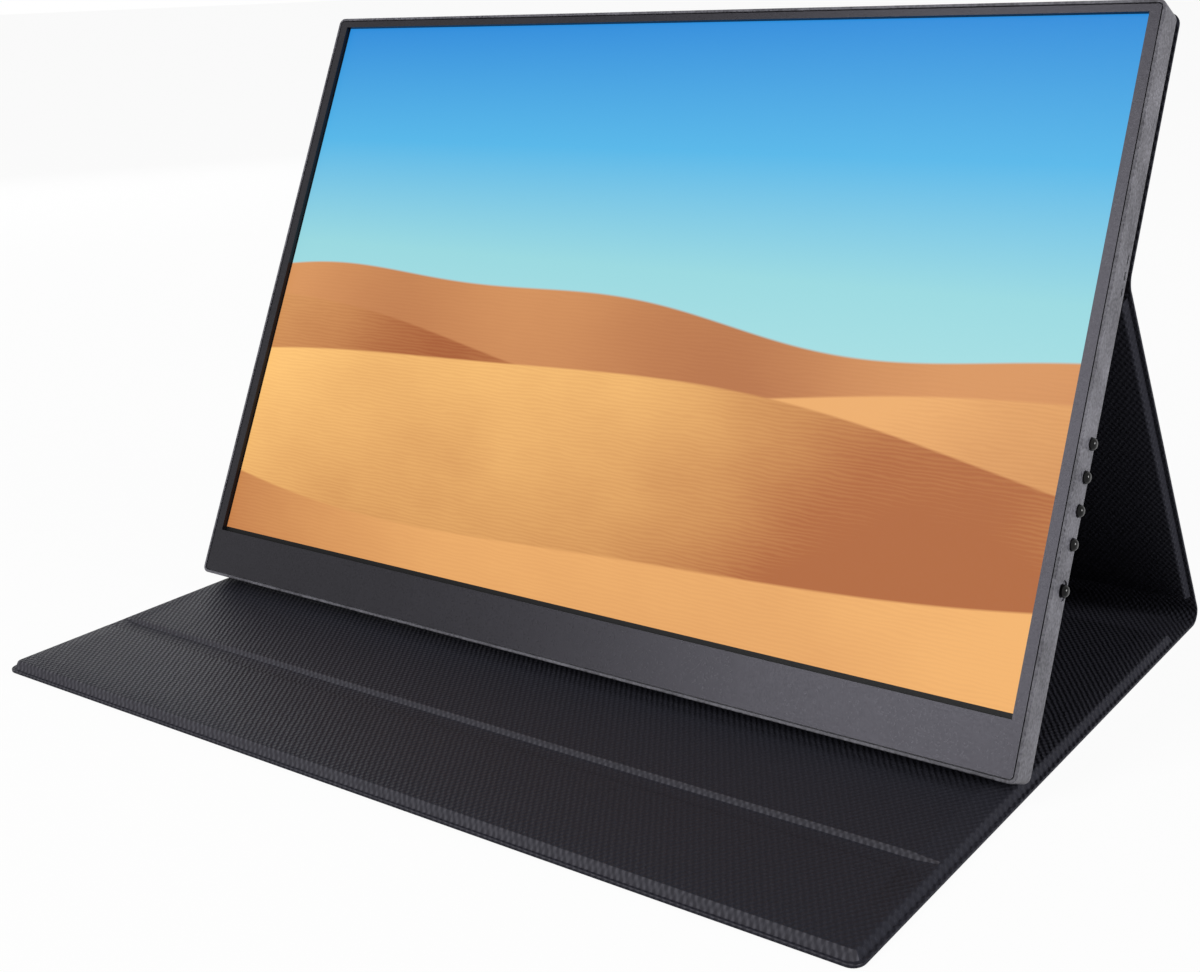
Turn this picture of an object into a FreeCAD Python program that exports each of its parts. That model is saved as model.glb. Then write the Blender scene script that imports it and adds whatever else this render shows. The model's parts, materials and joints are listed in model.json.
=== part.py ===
"""Portable monitor on a folding cover.

A thin desktop screen leans back on a four-panel folio. The upper panel is glued to the back of the
monitor, the leg panel runs from there down to the table, the base panel lies under the monitor, and a
short flap lies in front. Three soft folds join the panels. Lengths are in millimetres and angles in
degrees. +X is to the viewer's right, +Y to the back, +Z up, and the origin is on the table, in the middle
of the footprint.
"""
import FreeCAD, Part
import os
import re
import Sketcher

# Driving dimensions, each with what it measures
SIZES = {
    # Screen and monitor case
    "screen_width": (344.68, "lit picture, across"),
    "screen_height": (215.42, "lit picture, up"),
    "side_border": (5.51, "case beside the lit picture"),
    "top_border": (4.38, "case above the lit picture"),
    "chin": (18.5, "case below the lit picture"),
    "monitor_corner": (2.6, "corner radius seen from the front"),
    "back_round": (2.4, "round between the sides and the back"),
    "shell_back": (1.5, "back wall of the rear shell"),
    "rim_wall": (1.0, "thin rim that stands round the front plate"),
    "rim_ledge": (0.6, "ledge inside the rim that the front plate lies on"),
    "rim_round": (0.3, "outer edge of the rim"),
    "rim_groove": (0.4, "groove between rim and front plate"),
    "bezel_recess": (0.2, "front plate below the rim"),
    "bezel_thick": (1.6, "front plate"),
    "screen_gap": (0.5, "black gap between picture and front plate"),
    # Layers of the display
    "panel_border": (1.6, "glass beyond the picture at top and sides"),
    "panel_foot": (5.0, "glass beyond the picture at the bottom"),
    "tape_width": (0.7, "tape between front plate and glass"),
    "tape_thick": (0.15, "tape between front plate and glass"),
    "glass_thick": (1.1, "display glass"),
    "film_thick": (0.4, "diffuser films"),
    "guide_thick": (1.2, "light guide"),
    "guide_border": (1.0, "light guide beyond the picture"),
    "reflector_thick": (0.2, "reflector sheet"),
    "plate_thick": (0.4, "metal back of the display"),
    "led_height": (2.2, "light bar under the light guide"),
    # Electronics
    "main_board_width": (95.0, "main board, across"),
    "main_board_height": (48.0, "main board, up"),
    "board_thick": (1.0, "circuit boards"),
    "board_edge_gap": (1.0, "main board to side wall"),
    "boss_height": (1.6, "bosses under the main board"),
    "boss_diameter": (4.6, "bosses under the main board"),
    "boss_inset": (4.0, "boss centres from the board's edges and its sockets"),
    "screw_diameter": (1.6, "board screws"),
    "screw_length": (2.4, "board screws below the head"),
    "screw_head_diameter": (3.2, "board screw heads"),
    "screw_head_height": (0.8, "board screw heads"),
    "screw_clear": (0.1, "screw in its hole, at the radius"),
    "chip_size": (14.0, "picture processor, square"),
    "chip_height": (1.3, "chips above the board"),
    "memory_width": (9.0, "memory chip, across"),
    "memory_height": (6.0, "memory chip, up"),
    "port_height": (3.2, "sockets above the board"),
    "port_length": (7.6, "sockets, into the case"),
    "port_wall": (0.35, "sheet metal of the sockets"),
    "port_recess": (0.5, "socket mouths inside the outer wall"),
    "port_clear": (0.15, "sockets in the wall's openings"),
    "bay_clear": (0.15, "sockets to the metal back of the display"),
    "charge_port_width": (8.9, "reversible charge and picture sockets"),
    "charge_port_first": (8.0, "first such socket above the board's lower edge"),
    "charge_port_pitch": (13.0, "between the two such sockets"),
    "video_port_width": (11.2, "small video socket"),
    "video_port_step": (15.0, "from the upper of them to the small video socket"),
    "jack_width": (6.0, "headphone socket"),
    "jack_clear": (0.5, "headphone socket to the display and to the back wall"),
    "jack_length": (11.0, "headphone socket, into the case"),
    "jack_bore": (3.6, "headphone socket"),
    "driver_board_width": (120.0, "display driver board, across"),
    "driver_board_height": (12.0, "display driver board, up"),
    "driver_board_thick": (0.8, "display driver board"),
    "ribbon_thick": (0.25, "flat cables"),
    "ribbon_width": (7.0, "flat cables"),
    "ribbon_overlap": (10.0, "flat cables over the boards they join"),
    "speaker_length": (46.0, "loudspeakers, across"),
    "speaker_height": (9.0, "loudspeakers, up"),
    "speaker_depth": (5.4, "loudspeakers, front to back"),
    "speaker_low": (3.4, "loudspeakers above the bottom of the case"),
    "speaker_in": (32.0, "loudspeakers from the sides of the case"),
    "slot_width": (1.2, "sound slots"),
    "slot_height": (5.6, "sound slots"),
    "slot_pitch": (4.0, "between sound slots"),
    "lead_size": (1.0, "loudspeaker leads"),
    "lead_gap": (1.5, "loudspeaker lead above the loudspeakers"),
    "foam_width": (14.0, "foam pads behind the display"),
    "foam_height": (38.0, "foam pads behind the display"),
    "magnet_diameter": (10.0, "holding magnets"),
    "magnet_clear": (0.5, "holding magnets thinner than the stiffening board"),
    "magnet_in": (9.0, "magnet centres from the top of the case"),
    # Buttons on the right side
    "button_diameter": (4.0, "button caps"),
    "button_proud": (1.8, "button caps outside the side wall"),
    "button_dome": (1.6, "round of the button caps"),
    "button_clear": (0.1, "button caps in their holes, at the radius"),
    "flange_lip": (0.8, "flange that keeps a button in, beyond the cap"),
    "flange_thick": (0.7, "flange that keeps a button in"),
    "flange_gap": (0.05, "flange to the inside of the wall"),
    "button_forward": (0.5, "button centres in front of the middle of the space behind the display"),
    "button_first": (71.5, "lowest control button above the bottom of the case"),
    "button_pitch": (10.15, "between control buttons"),
    "power_drop": (13.9, "power button below the lowest control button"),
    "power_dish_lip": (1.2, "dish round the power button, beyond the cap"),
    "power_dish_depth": (0.5, "dish round the power button"),
    "button_travel_gap": (0.45, "button to switch"),
    "switch_size": (3.0, "tact switches, square"),
    "switch_height": (1.3, "tact switches"),
    "button_board_margin": (6.0, "button board beyond the end buttons"),
    "button_board_gap": (1.0, "button board to the metal back of the display"),
    "vent_length": (2.7, "vent slots, up"),
    "vent_width": (0.7, "vent slots, front to back"),
    "vent_pitch": (5.2, "between vent slots"),
    "vent_up": (148.7, "lowest vent slot above the bottom of the case"),
    "vent_in": (2.2, "vent slots in front of the inside of the back wall"),
    # Folding cover
    "cover_inset": (0.95, "cover inside the sides of the case"),
    "skin_thick": (0.9, "outer skin"),
    "stiffener_thick": (2.5, "stiffening board"),
    "lining_thick": (0.9, "lining"),
    "board_clear": (0.1, "boards in the hollows of their linings"),
    "edge_round": (0.6, "rounded edges of the skins"),
    "upper_corner": (4.0, "top corners of the upper panel"),
    "flap_corner": (4.0, "front corners of the flap"),
    "adhesive_thick": (0.4, "adhesive between monitor and upper panel"),
    "adhesive_margin": (12.0, "adhesive inside the upper panel's edges"),
    "cover_top_over": (2.7, "upper panel above the top of the case"),
    "upper_length": (83.8, "upper panel, from the middle fold to its top"),
    "mid_fold_radius": (6.0, "outer face of the cover at the middle fold"),
    "rear_fold_radius": (4.6, "outer face of the cover at the rear fold"),
    "leg_soft": (5.0, "soft cover between the rear fold and the leg's board"),
    "base_soft": (18.5, "soft cover between the rear fold and the base's board"),
    "base_length": (181.8, "base panel, front to back"),
    "front_fold_width": (9.1, "soft strip between base and flap"),
    "front_fold_dip": (1.3, "soft strip below the panels beside it"),
    "flap_length": (41.3, "flap, front to back"),
    "monitor_lean": (25.6, "screen back from upright"),
    "leg_slope": (58.4, "leg above the table"),
    "rest_gap": (0.3, "lower edge of the case above the lining"),
    "overrun": (1.0, "cutting shapes past the faces they cut"),
}

# Places chosen as shares of the size that they follow
SHARES = {
    "foam_out_share": (0.3, "foam pads from the middle, of the picture's width"),
    "foam_up_share": (0.62, "foam pads, of the case's height"),
    "chip_across_share": (0.6, "picture processor, of the main board's width"),
    "memory_across_share": (0.3, "memory chip, of the main board's width"),
    "chip_up_share": (0.55, "chips, of the main board's height"),
    "shell_magnet_share": (0.33, "case magnets from the middle, of its width"),
    "flap_magnet_share": (0.33, "flap magnets from the middle, of the case's width"),
    "lead_drop_share": (0.45, "right loudspeaker's lead, of the main board's width"),
    "lead_left_share": (0.6, "left loudspeaker's lead, of the loudspeaker's length"),
    "tongue_share": (0.5, "contact tongue in a socket, of the socket's width"),
    "round_share": (0.8, "most that a rounded edge may take of its layer"),
}

# Sizes and places that follow from the driving ones
LAYOUT = {
    "monitor_width": "screen_width + 2 * side_border",
    "monitor_height": "chin + screen_height + top_border",
    "shell_wall": "rim_wall + rim_ledge",
    "half_width": "monitor_width / 2",
    "inner_half": "half_width - shell_wall",
    "bezel_back": "bezel_recess + bezel_thick",
    "glass_front": "bezel_back + tape_thick",
    "film_front": "glass_front + glass_thick",
    "guide_front": "film_front + film_thick",
    "reflector_front": "guide_front + guide_thick",
    "plate_front": "reflector_front + reflector_thick",
    "plate_back": "plate_front + plate_thick",
    "back_inner": "plate_back + bay_clear + port_height + board_thick + boss_height",
    "monitor_depth": "back_inner + shell_back",
    "bay_middle": "(plate_back + back_inner) / 2",
    "screen_top": "chin + screen_height",
    "glass_low": "chin - panel_foot",
    "glass_high": "screen_top + panel_border",
    "guide_low": "chin - guide_border",
    "power_up": "button_first - power_drop",
    "main_board_low": "power_up + ribbon_width / 2 - main_board_height / 2",
    "main_board_left": "-inner_half + board_edge_gap",
    "main_board_right": "main_board_left + main_board_width",
    "main_board_back": "back_inner - boss_height",
    "main_board_front": "main_board_back - board_thick",
    "driver_board_low": "main_board_low + 2 * boss_inset",
    "port_left": "-half_width + port_recess",
    "button_inner": "inner_half - flange_gap - flange_thick",
    "button_depth": "bay_middle - button_forward",
    "switch_face": "button_inner - button_travel_gap",
    "button_board_face": "switch_face - switch_height",
    "cover_width": "monitor_width - 2 * cover_inset",
    "magnet_thick": "stiffener_thick - magnet_clear",
    "skin_round": "min(edge_round; round_share * skin_thick)",
    "panel_thick": "skin_thick + stiffener_thick + lining_thick",
    "strip_thick": "skin_thick + lining_thick",
    "rim_slope": "panel_thick - strip_thick",
    "front_fold_slope": "panel_thick - front_fold_dip - strip_thick",
    "upper_outer": "monitor_depth + adhesive_thick + panel_thick",
    "leg_turn": "180 - leg_slope",
    "monitor_turn": "90 - monitor_lean",
    "mid_turn": "leg_turn - monitor_turn",
    "mid_tangent": "mid_fold_radius * tan(mid_turn / 2)",
    "rear_tangent": "rear_fold_radius * tan(leg_turn / 2)",
    "footprint": "flap_length + front_fold_width + base_length + base_soft + rear_fold_radius",
    "rear_axis_back": "footprint / 2 - rear_fold_radius",
    "base_front": "rear_axis_back - base_soft - base_length",
    "flap_back": "base_front - front_fold_width",
    "flap_front": "flap_back - flap_length",
    "case_drop": "(monitor_depth - back_round) * sin(monitor_lean) - back_round * cos(monitor_lean) + back_round",
    "monitor_rise": "panel_thick + rest_gap + case_drop",
    "upper_low": "monitor_height + cover_top_over - upper_length",
    "fold_up": "upper_low - mid_tangent",
    "mid_fold_rise": "monitor_rise + fold_up * cos(monitor_lean) - upper_outer * sin(monitor_lean)",
    "mid_fold_back": "rear_axis_back + rear_tangent - mid_fold_rise / tan(leg_slope)",
    "monitor_back": "mid_fold_back - fold_up * sin(monitor_lean) - upper_outer * cos(monitor_lean)",
    "leg_run": "mid_fold_rise / sin(leg_slope) - rear_tangent - mid_tangent",
    "leg_length": "leg_run - leg_soft",
    "rear_strip_arc": "(rear_fold_radius - strip_thick / 2) * leg_turn * pi / 180",
    "rear_pivot_part": "rear_strip_arc / (2 * rear_tangent)",
    "rear_pivot_back": "rear_axis_back + rear_pivot_part * rear_tangent",
    "rear_pivot_rise": "rear_fold_radius * (1 - rear_pivot_part)",
    "front_pivot_back": "base_front - front_fold_width / 2",
    "front_pivot_rise": "(panel_thick - front_fold_dip) / 2",
}

# Frames of the assembly: base on the table, leg on the rear fold, monitor on the middle fold
HERE = "placement(vector(0; 0; 0); rotation(vector(1; 0; 0); 0))"
LEG = (
    "placement(vector(0; rear_axis_back; rear_fold_radius); rotation(vector(1; 0; 0); leg_turn))"
    " * placement(vector(0; 0; -rear_fold_radius); rotation(vector(1; 0; 0); 0))"
)
MONITOR = "placement(vector(0; monitor_back; monitor_rise); rotation(vector(1; 0; 0); monitor_turn))"
ACROSS = "0; 1; 0"

# Places closer together than this are taken as one
NEAR = 0.001

doc = FreeCAD.newDocument("portable_monitor")
sizes = doc.addObject("Spreadsheet::Sheet", "Sizes")
layout = doc.addObject("Spreadsheet::Sheet", "Layout")
nodes = []


def fill_sheets():
    """Write the driving numbers to one sheet and the formulas that follow from them to the other."""
    driving = {**SIZES, **SHARES}
    for row, (name, (value, meaning)) in enumerate(driving.items(), 1):
        sizes.set(f"A{row}", name)
        sizes.set(f"B{row}", str(value))
        sizes.set(f"C{row}", meaning)
        sizes.setAlias(f"B{row}", name)
    for row, (name, text) in enumerate(LAYOUT.items(), 1):
        layout.set(f"A{row}", name)
        layout.set(f"B{row}", "=" + re.sub(r"[a-z]\w*", lambda word: sheet_word(word[0], False), text))
        layout.setAlias(f"B{row}", name)
    doc.recompute()


def sheet_word(word, outside=True):
    """A size's name as an expression reads it."""
    if word in SIZES or word in SHARES:
        return "Sizes." + word
    if outside and word in LAYOUT:
        return "Layout." + word
    return word


def formula(text):
    """An expression in which each size's name points at its sheet."""
    return re.sub(r"[a-z]\w*", lambda word: sheet_word(word[0]), text)


def measure(text):
    """The present value of an expression."""
    return float(sizes.evalExpression(formula(text)))


def bind(item, **properties):
    """Tie properties of an object to expressions."""
    for name, text in properties.items():
        item.setExpression(name, formula(text))


def put(item, frame, x="0", y="0", z="0", axis="1; 0; 0", turn="0"):
    """Place an object at a spot of one of the assembly's frames."""
    spot = f"placement(vector({x}; {y}; {z}); rotation(vector({axis}); {turn}))"
    item.setExpression("Placement", formula(f"{frame} * {spot}"))


def node(item, label):
    """Name an object as a finished piece."""
    item.Label = label
    nodes.append(item)
    return item


def block(name, x, y, z, length, width, height, frame=HERE):
    """A rectangular block from its lowest corner."""
    item = doc.addObject("Part::Box", name)
    bind(item, Length=length, Width=width, Height=height)
    put(item, frame, x, y, z)
    return item


def rod(name, diameter, length, x, y, z, frame=HERE, axis="1; 0; 0", turn="0"):
    """A round bar that starts at a spot and runs along Z, or along Z turned about an axis."""
    item = doc.addObject("Part::Cylinder", name)
    bind(item, Radius=f"({diameter}) / 2", Height=length)
    put(item, frame, x, y, z, axis, turn)
    return item


def joined(name, items, frame=HERE):
    """Several shapes as one solid."""
    item = doc.addObject("Part::MultiFuse", name)
    item.Shapes = items
    item.Refine = True
    put(item, frame)
    return item


def cut(name, base, tools, frame=HERE):
    """A shape less others."""
    together = doc.addObject("Part::Compound", name + "_tools")
    together.Links = tools
    item = doc.addObject("Part::Cut", name)
    item.Base = base
    item.Tool = together
    put(item, frame)
    return item


def group(name, items, frame=HERE):
    """Separate like solids in one node."""
    item = doc.addObject("Part::Compound", name)
    item.Links = items
    put(item, frame)
    return item


def outline(body, name, width, low, height, level):
    """A sketched rectangle, centred across, from low up, on the plane at the given level."""
    sketch = body.newObject("Sketcher::SketchObject", name)
    plane = next(item for item in body.Origin.OriginFeatures if item.Role == "XY_Plane")
    sketch.AttachmentSupport = [(plane, "")]
    sketch.MapMode = "FlatFace"
    sketch.setExpression("AttachmentOffset.Base.z", formula(level))
    half, bottom = measure(width) / 2, measure(low)
    top = bottom + measure(height)
    corners = [(-half, bottom), (half, bottom), (half, top), (-half, top)]
    for index in range(4):
        start, end = corners[index], corners[(index + 1) % 4]
        sketch.addGeometry(Part.LineSegment(FreeCAD.Vector(*start, 0), FreeCAD.Vector(*end, 0)), False)
    for index in range(4):
        sketch.addConstraint(Sketcher.Constraint("Coincident", index, 2, (index + 1) % 4, 1))
        sketch.addConstraint(Sketcher.Constraint("Vertical" if index % 2 else "Horizontal", index))
    size_sketch(sketch, "width", "DistanceX", (0, 1, 0, 2), width)
    size_sketch(sketch, "half", "DistanceX", (-1, 1, 0, 2), f"({width}) / 2")
    size_sketch(sketch, "height", "DistanceY", (1, 1, 1, 2), height)
    if bottom:
        size_sketch(sketch, "low", "DistanceY", (-1, 1, 0, 1), low)
    else:
        sketch.addConstraint(Sketcher.Constraint("PointOnObject", 0, 1, -1))
    return sketch


def size_sketch(sketch, name, kind, places, text):
    """A named dimension in a sketch, tied to an expression."""
    index = sketch.addConstraint(Sketcher.Constraint(kind, *places, measure(text)))
    sketch.renameConstraint(index, name)
    sketch.setExpression("Constraints." + name, formula(text))


def pad(body, width, low, height, level, thick):
    """Raise a sketched rectangle towards the viewer."""
    sketch = outline(body, "outline", width, low, height, level)
    feature = body.newObject("PartDesign::Pad", "plate")
    feature.Profile = sketch
    bind(feature, Length=thick)
    doc.recompute()
    return feature


def pocket(body, width, low, height, level, depth):
    """Sink a sketched rectangle from the given level, and make sure that it took material away."""
    before = body.Shape.Volume
    sketch = outline(body, "hollow", width, low, height, level)
    feature = body.newObject("PartDesign::Pocket", "pocket")
    feature.Profile = sketch
    bind(feature, Length=depth)
    doc.recompute()
    if not body.Shape.Volume < before:
        raise ValueError(f"{body.Name}: a pocket cut nothing")
    return feature


def dress(body, kind, chosen, **sizes):
    """Round or slope the edges of the body so far that the test picks by their middle and direction."""
    tip = body.Tip
    names = []
    for index, edge in enumerate(tip.Shape.Edges, 1):
        middle = edge.valueAt((edge.FirstParameter + edge.LastParameter) / 2)
        along = edge.tangentAt((edge.FirstParameter + edge.LastParameter) / 2)
        if chosen(middle, along):
            names.append(f"Edge{index}")
    feature = body.newObject(kind, "dressed")
    feature.Base = (tip, names)
    bind(feature, **sizes)
    doc.recompute()
    return feature


def soften(body, radius, chosen):
    """Round the edges that the test picks."""
    return dress(body, "PartDesign::Fillet", chosen, Radius=radius)


def slope(body, size, chosen):
    """Give the edges that the test picks an even slope."""
    return dress(body, "PartDesign::Chamfer", chosen, Size=size)


def round_corners(body, radius, width, *ends):
    """Round the upright edges at both corners of each given end of a rectangle."""
    half = measure(width) / 2
    levels = [measure(end) for end in ends]

    def at_corner(middle, along):
        at_end = any(abs(middle.y - level) < NEAR for level in levels)
        return is_upright(along) and at_end and abs(abs(middle.x) - half) < NEAR

    return soften(body, radius, at_corner)


def new_body(name):
    """An empty body with its origin planes."""
    return doc.addObject("PartDesign::Body", name)


def plate(name, width, low, height, level, thick, corner=None, ends=()):
    """A flat body, with round corners at the given ends."""
    body = new_body(name)
    pad(body, width, low, height, level, thick)
    if corner:
        round_corners(body, corner, width, *ends)
    return body


def is_upright(along):
    """True for an edge that runs front to back through a plate."""
    return abs(along.z) > abs(along.x) + abs(along.y)


def layer(label, width, low, height, front, thick):
    """A flat layer of the display, measured back from the front rim."""
    body = new_body(label)
    pad(body, width, low, height, f"-({front}) - ({thick})", thick)
    put(body, MONITOR)
    return node(body, label)


def build_front_bezel():
    """Flat front plate with the picture's opening, inside the shell's rim."""
    edge = "(rim_wall + rim_groove)"
    body = plate("front_bezel", f"monitor_width - 2 * {edge}", edge, f"monitor_height - 2 * {edge}",
                 "-bezel_back", "bezel_thick", f"monitor_corner - {edge}", (edge, f"monitor_height - {edge}"))
    pocket(body, "screen_width + 2 * screen_gap", "chin - screen_gap", "screen_height + 2 * screen_gap",
           "-bezel_recess", "bezel_thick")
    put(body, MONITOR)
    node(body, "front_bezel")


def build_shell_tray():
    """The rear shell before its openings: rounded back, hollow inside, rebate for the front plate."""
    body = plate("shell_block", "monitor_width", "0", "monitor_height", "-monitor_depth", "monitor_depth",
                 "monitor_corner", ("0", "monitor_height"))
    back = -measure("monitor_depth")
    soften(body, "back_round", lambda middle, along: abs(middle.z - back) < NEAR)
    soften(body, "rim_round", lambda middle, along: abs(middle.z) < NEAR)
    hollows = []
    for wall, depth in (("rim_wall", "bezel_back"), ("shell_wall", "back_inner")):
        hollows.append(plate(wall + "_hollow", f"monitor_width - 2 * {wall}", wall,
                             f"monitor_height - 2 * {wall}", f"-{depth}", f"{depth} + overrun",
                             f"monitor_corner - {wall}", (wall, f"monitor_height - {wall}")))
    return cut("shell_tray", body, [joined("shell_hollow", hollows)])


def board_corners():
    """Where the main board is screwed down."""
    across = ("main_board_left + port_length + boss_inset", "main_board_right - boss_inset")
    up = ("main_board_low + boss_inset", "main_board_low + main_board_height - boss_inset")
    return [(x, y) for x in across for y in up]


def sockets():
    """Sockets on the left side: name, place up the case and width."""
    first = "main_board_low + charge_port_first"
    return [
        ("charge_port_lower", first, "charge_port_width"),
        ("charge_port_upper", f"{first} + charge_port_pitch", "charge_port_width"),
        ("video_port", f"{first} + charge_port_pitch + video_port_step", "video_port_width"),
    ]


def button_places():
    """Buttons on the right side: label and place up the case."""
    controls = [(f"control_button_{index + 1}", f"button_first + {index} * button_pitch") for index in range(4)]
    return [("power_button", "power_up")] + controls


def shell_openings():
    """Everything that is cut out of the rear shell."""
    outside = "half_width + overrun"
    through = "shell_wall + 2 * overrun"
    holes = [rod(label + "_hole", "button_diameter + 2 * button_clear", through, "inner_half - overrun", up,
                 "-button_depth", HERE, ACROSS, "90") for label, up in button_places()]
    dish = rod("power_dish", "button_diameter + 2 * power_dish_lip", "power_dish_depth + overrun",
               "half_width - power_dish_depth", "power_up", "-button_depth", HERE, ACROSS, "90")
    tools = [joined("power_opening", [holes[0], dish])] + holes[1:]
    for label, up, width in sockets():
        tools.append(block(label + "_mouth", f"-({outside})", f"{up} - ({width}) / 2 - port_clear",
                           "-main_board_front - port_clear", through, f"{width} + 2 * port_clear",
                           "port_height + 2 * port_clear"))
    tools.append(rod("jack_mouth", "jack_bore + 2 * port_clear", through, f"-({outside})", jack_up(),
                     "-bay_middle", HERE, ACROSS, "90"))
    for index in range(3):
        tools.append(block(f"vent_{index}", "inner_half - overrun",
                           f"vent_up + {index} * vent_pitch - vent_length / 2",
                           "-back_inner + vent_in", through, "vent_length", "vent_width"))
    slots = int(measure("speaker_length") // measure("slot_pitch"))
    for side in (-1, 1):
        for index in range(slots):
            across = f"{side} * (half_width - speaker_in - ({index} + 1 / 2) * speaker_length / {slots})"
            tools.append(block(f"sound_slot_{side + 1}_{index}", f"{across} - slot_width / 2",
                               "speaker_low + (speaker_height - slot_height) / 2",
                               "-monitor_depth - overrun", "slot_width", "slot_height",
                               "shell_back + 2 * overrun"))
    return tools


def build_rear_shell():
    """Tray-like rear shell with bosses, button holes, socket mouths, vents and sound slots."""
    parts = [build_shell_tray()]
    for index, (x, y) in enumerate(board_corners()):
        parts.append(rod(f"boss_{index}", "boss_diameter", "boss_height + shell_back / 2", x, y,
                         "-back_inner - shell_back / 2"))
    holes = [rod(f"boss_hole_{index}", "screw_diameter + 2 * screw_clear", "screw_length + overrun", x, y,
                 "-main_board_front - screw_length") for index, (x, y) in enumerate(board_corners())]
    shell = joined("shell_with_bosses", parts)
    node(cut("rear_shell", shell, shell_openings() + holes, MONITOR), "rear_shell")


def build_display():
    """Layers of the display, from the tape behind the front plate to the metal back."""
    ring = new_body("panel_tape")
    opening = "screen_width + 2 * screen_gap"
    tall = "screen_height + 2 * screen_gap"
    pad(ring, f"{opening} + 2 * tape_width", "chin - screen_gap - tape_width", f"{tall} + 2 * tape_width",
        "-glass_front", "tape_thick")
    pocket(ring, opening, "chin - screen_gap", tall, "-bezel_back", "tape_thick")
    put(ring, MONITOR)
    node(ring, "panel_tape")
    wide = "screen_width + 2 * panel_border"
    high = "glass_high - glass_low"
    guide_wide = "screen_width + 2 * guide_border"
    guide_high = "screen_height + 2 * guide_border"
    layer("lcd_glass", wide, "glass_low", high, "glass_front", "glass_thick")
    layer("diffuser_films", guide_wide, "guide_low", guide_high, "film_front", "film_thick")
    layer("light_guide", guide_wide, "guide_low", guide_high, "guide_front", "guide_thick")
    layer("led_strip", guide_wide, "guide_low - led_height", "led_height", "guide_front", "guide_thick")
    layer("reflector_sheet", wide, "glass_low", high, "reflector_front", "reflector_thick")
    layer("panel_back_plate", wide, "glass_low", high, "plate_front", "plate_thick")


def build_main_board():
    """Main board with its chips, sockets and screws."""
    plain = block("main_board_plain", "main_board_left", "main_board_low", "-main_board_back",
                  "main_board_width", "main_board_height", "board_thick")
    holes = [rod(f"board_hole_{index}", "screw_diameter + 2 * screw_clear", "board_thick + 2 * overrun", x, y,
                 "-main_board_back - overrun") for index, (x, y) in enumerate(board_corners())]
    node(cut("main_board", plain, holes, MONITOR), "main_board")
    chip = block("processor", "main_board_left + chip_across_share * main_board_width",
                 "main_board_low + chip_up_share * main_board_height - chip_size / 2", "-main_board_front",
                 "chip_size", "chip_size", "chip_height")
    memory = block("memory", "main_board_left + memory_across_share * main_board_width",
                   "main_board_low + chip_up_share * main_board_height - memory_height / 2",
                   "-main_board_front", "memory_width", "memory_height", "chip_height")
    node(group("video_chips", [chip, memory], MONITOR), "video_chips")
    screws = []
    for index, (x, y) in enumerate(board_corners()):
        head = rod(f"screw_head_{index}", "screw_head_diameter", "screw_head_height", x, y, "-main_board_front")
        stem = rod(f"screw_stem_{index}", "screw_diameter", "screw_length", x, y,
                   "-main_board_front - screw_length")
        screws.append(joined(f"screw_{index}", [head, stem]))
    node(group("board_screws", screws, MONITOR), "board_screws")


def build_sockets():
    """Metal sockets on the main board, open to the left."""
    made = {}
    for label, up, width in sockets():
        case = block(label + "_case", "port_left", f"{up} - ({width}) / 2", "-main_board_front",
                     "port_length", width, "port_height")
        mouth = block(label + "_inside", "port_left - overrun", f"{up} - ({width}) / 2 + port_wall",
                      "-main_board_front + port_wall", "port_length - port_wall + overrun",
                      f"{width} - 2 * port_wall", "port_height - 2 * port_wall")
        tongue = block(label + "_tongue", "port_left + port_wall", f"{up} - tongue_share * ({width}) / 2",
                       "-main_board_front + port_height / 2 - port_wall",
                       "port_length - port_wall", f"tongue_share * ({width})", "2 * port_wall")
        made[label] = joined(label + "_whole", [cut(label + "_shell", case, [mouth]), tongue])
    pair = [made["charge_port_lower"], made["charge_port_upper"]]
    node(group("usb_c_ports", pair, MONITOR), "usb_c_ports")
    put(made["video_port"], MONITOR)
    node(made["video_port"], "mini_video_port")
    case = block("jack_case", "-inner_half", "main_board_low + main_board_height", "-back_inner + jack_clear",
                 "jack_length", "jack_width", "back_inner - plate_back - 2 * jack_clear")
    bore = rod("jack_bore", "jack_bore", "jack_length - port_wall + overrun", "-inner_half - overrun", jack_up(),
               "-bay_middle", HERE, ACROSS, "90")
    node(cut("audio_jack", case, [bore], MONITOR), "audio_jack")


def jack_up():
    """Middle of the headphone socket, up the case."""
    return "main_board_low + main_board_height + jack_width / 2"


def build_driver_board():
    """Display driver board on the metal back, and its flat cable to the main board."""
    node(block("panel_driver_board", "-driver_board_width / 2", "driver_board_low",
               "-plate_back - driver_board_thick", "driver_board_width", "driver_board_height",
               "driver_board_thick", MONITOR), "panel_driver_board")
    low = "driver_board_low + (driver_board_height - ribbon_width) / 2"
    start = "main_board_right - ribbon_overlap"
    end = "-driver_board_width / 2 + ribbon_overlap"
    riser = "(main_board_right - driver_board_width / 2) / 2"
    far = "-plate_back - driver_board_thick - ribbon_thick"
    flats = [
        block("ribbon_on_board", start, low, "-main_board_front", f"{riser} - ({start})", "ribbon_width",
              "ribbon_thick"),
        block("ribbon_riser", riser, low, "-main_board_front", "ribbon_thick", "ribbon_width",
              f"{far} + ribbon_thick + main_board_front"),
        block("ribbon_on_driver", riser, low, far, f"{end} - ({riser})", "ribbon_width", "ribbon_thick"),
    ]
    node(joined("display_cable", flats, MONITOR), "display_cable")


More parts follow.
